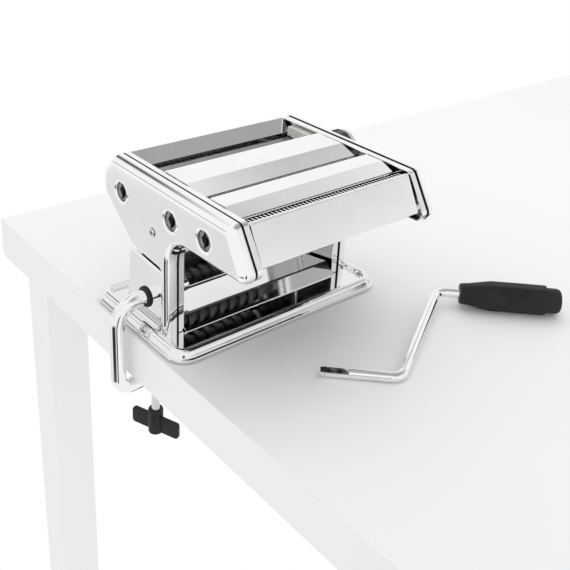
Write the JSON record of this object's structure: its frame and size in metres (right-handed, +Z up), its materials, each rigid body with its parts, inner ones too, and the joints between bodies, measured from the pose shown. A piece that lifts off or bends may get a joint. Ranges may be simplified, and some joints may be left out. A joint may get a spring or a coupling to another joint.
{
  "type": "hand cranked pasta machine",
  "caption": "Chromed hand-cranked pasta machine with smooth rollers, noodle cutters, gap regulator, table clamp and a loose crank.",
  "frame": {"origin": "on the table top that the feet stand on, in the middle of the base's footprint", "axes": "+X along the rollers from the crank side to the regulator side, +Y from the cutters' front panel to the back, +Z up"},
  "size_m": [0.3773, 0.294, 0.2753],
  "materials": {
    "chromed_housing": "mirror polished, light wear",
    "chromed_base": "mirror polished, fine scratches",
    "chromed_sheet": "polished sheet",
    "steel_comb": "satin",
    "dark_seal": "matte black",
    "rubber": "matte",
    "white_plastic": "satin",
    "steel_hardware": "zinc bright",
    "roller_steel": "satin turned",
    "socket_steel": "satin",
    "gear_steel": "oiled",
    "knob_plastic": "satin black with a light end cap",
    "dial": "light grey",
    "black_plastic": "satin black",
    "chromed_rod": "chromed rod"
  },
  "bodies": {
    "frame": {"base_pan": "chromed_base", "base_screws": "steel_hardware", "rubber_feet": "rubber", "crank_side_cover": "chromed_housing", "knob_side_cover": "chromed_housing", "crank_side_seal": "dark_seal", "knob_side_seal": "dark_seal", "crank_side_frame": "chromed_housing", "knob_side_frame": "chromed_housing", "crank_side_lower_panel": "chromed_housing", "knob_side_lower_panel": "chromed_housing", "rear_panel": "chromed_sheet", "rear_roof": "chromed_sheet", "front_roof": "chromed_sheet", "front_panel": "chromed_sheet", "pasta_tray": "chromed_sheet", "fine_comb_front": "steel_comb", "fine_comb_rear": "steel_comb", "wide_comb_front": "steel_comb", "wide_comb_rear": "steel_comb", "rear_scraper": "steel_comb", "front_scraper": "steel_comb", "dough_guides": "white_plastic", "tie_rods": "steel_hardware", "cover_posts": "steel_hardware", "cover_screws": "steel_hardware", "bearing_bushes": "white_plastic", "dial_ring": "dial"},
    "smooth_rear": {"smooth_roller_rear": "roller_steel", "smooth_socket": "socket_steel", "smooth_gear_rear": "gear_steel"},
    "gap_carriage": {"gap_bushes": "white_plastic", "gap_slide": "steel_hardware"},
    "smooth_front": {"smooth_roller_front": "roller_steel", "smooth_gear_front": "gear_steel"},
    "wide_rear": {"wide_cutter_rear": "roller_steel", "wide_socket": "socket_steel", "wide_gear_rear": "gear_steel"},
    "wide_front": {"wide_cutter_front": "roller_steel", "wide_gear_front": "gear_steel"},
    "fine_rear": {"fine_cutter_rear": "roller_steel", "fine_socket": "socket_steel", "fine_gear_rear": "gear_steel"},
    "fine_front": {"fine_cutter_front": "roller_steel", "fine_gear_front": "gear_steel"},
    "spindle": {"knob_spindle": "steel_hardware", "knob_spring": "steel_hardware"},
    "knob": {"regulator_knob": "knob_plastic"},
    "clamp_ring": {"clamp_grommet": "black_plastic"},
    "clamp": {"clamp_bar": "chromed_rod"},
    "pad": {"clamp_pad": "steel_hardware"},
    "screw": {"clamp_screw": "steel_hardware", "wing_grip": "black_plastic"},
    "crank": {"crank_rod": "chromed_rod", "crank_pin": "steel_hardware", "grip_cap": "steel_hardware"},
    "grip": {"crank_grip": "black_plastic"}
  },
  "joints": [
    {"name": "smooth_rear_turn", "type": "hinge", "parent": "frame", "child": "smooth_rear", "pos_m": [0, 0.0365, 0.1205], "axis": [1, 0, 0], "continuous": true},
    {"name": "gap_travel", "type": "slide", "parent": "frame", "child": "gap_carriage", "axis": [0, -1, 0], "range_m": [0, 0.0024]},
    {"name": "smooth_front_turn", "type": "hinge", "parent": "gap_carriage", "child": "smooth_front", "pos_m": [0, 0.0085, 0.1205], "axis": [1, 0, 0], "continuous": true},
    {"name": "wide_rear_turn", "type": "hinge", "parent": "frame", "child": "wide_rear", "pos_m": [0, -0.042, 0.123], "axis": [1, 0, 0], "continuous": true},
    {"name": "wide_front_turn", "type": "hinge", "parent": "frame", "child": "wide_front", "pos_m": [0, -0.063, 0.123], "axis": [1, 0, 0], "continuous": true},
    {"name": "fine_rear_turn", "type": "hinge", "parent": "frame", "child": "fine_rear", "pos_m": [0, -0.09, 0.1255], "axis": [1, 0, 0], "continuous": true},
    {"name": "fine_front_turn", "type": "hinge", "parent": "frame", "child": "fine_front", "pos_m": [0, -0.111, 0.1255], "axis": [1, 0, 0], "continuous": true},
    {"name": "gap_setting", "type": "hinge", "parent": "frame", "child": "spindle", "pos_m": [0, 0.0085, 0.1205], "axis": [1, 0, 0], "range_deg": [0, 180]},
    {"name": "knob_pull", "type": "slide", "parent": "spindle", "child": "knob", "axis": [1, 0, 0], "range_m": [0, 0.004], "stiffness_N_per_m": 600, "springref_m": -0.003},
    {"name": "clamp_swivel", "type": "hinge", "parent": "frame", "child": "clamp_ring", "pos_m": [-0.107, 0.0015, 0.03], "axis": [1, 0, 0], "range_deg": [-30, 30]},
    {"name": "clamp_reach", "type": "slide", "parent": "clamp_ring", "child": "clamp", "axis": [-1, 0, 0], "range_m": [-0.004, 0.03]},
    {"name": "pad_travel", "type": "slide", "parent": "clamp", "child": "pad", "axis": [0, 0, 1], "range_m": [-0.001, 0.031]},
    {"name": "screw_turn", "type": "hinge", "parent": "pad", "child": "screw", "pos_m": [-0.0975, 0.0015, -0.08], "axis": [0, 0, 1], "range_deg": [-288, 8928]},
    {"name": "crank_lift", "type": "slide", "parent": "frame", "child": "crank", "axis": [0, 0, 1], "range_m": [0, 0.15]},
    {"name": "grip_turn", "type": "hinge", "parent": "crank", "child": "grip", "pos_m": [0.15764, -0.14514, 0.0138], "axis": [0.7145, -0.6997, 0], "continuous": true}
  ],
  "couplings": [
    {"joint": "smooth_front_turn", "follows": "smooth_rear_turn", "ratio": -1},
    {"joint": "wide_front_turn", "follows": "wide_rear_turn", "ratio": -1},
    {"joint": "fine_front_turn", "follows": "fine_rear_turn", "ratio": -1},
    {"joint": "gap_setting", "follows": "gap_travel", "rad_per_m": 1309},
    {"joint": "screw_turn", "follows": "pad_travel", "rad_per_m": 5026.5}
  ]
}
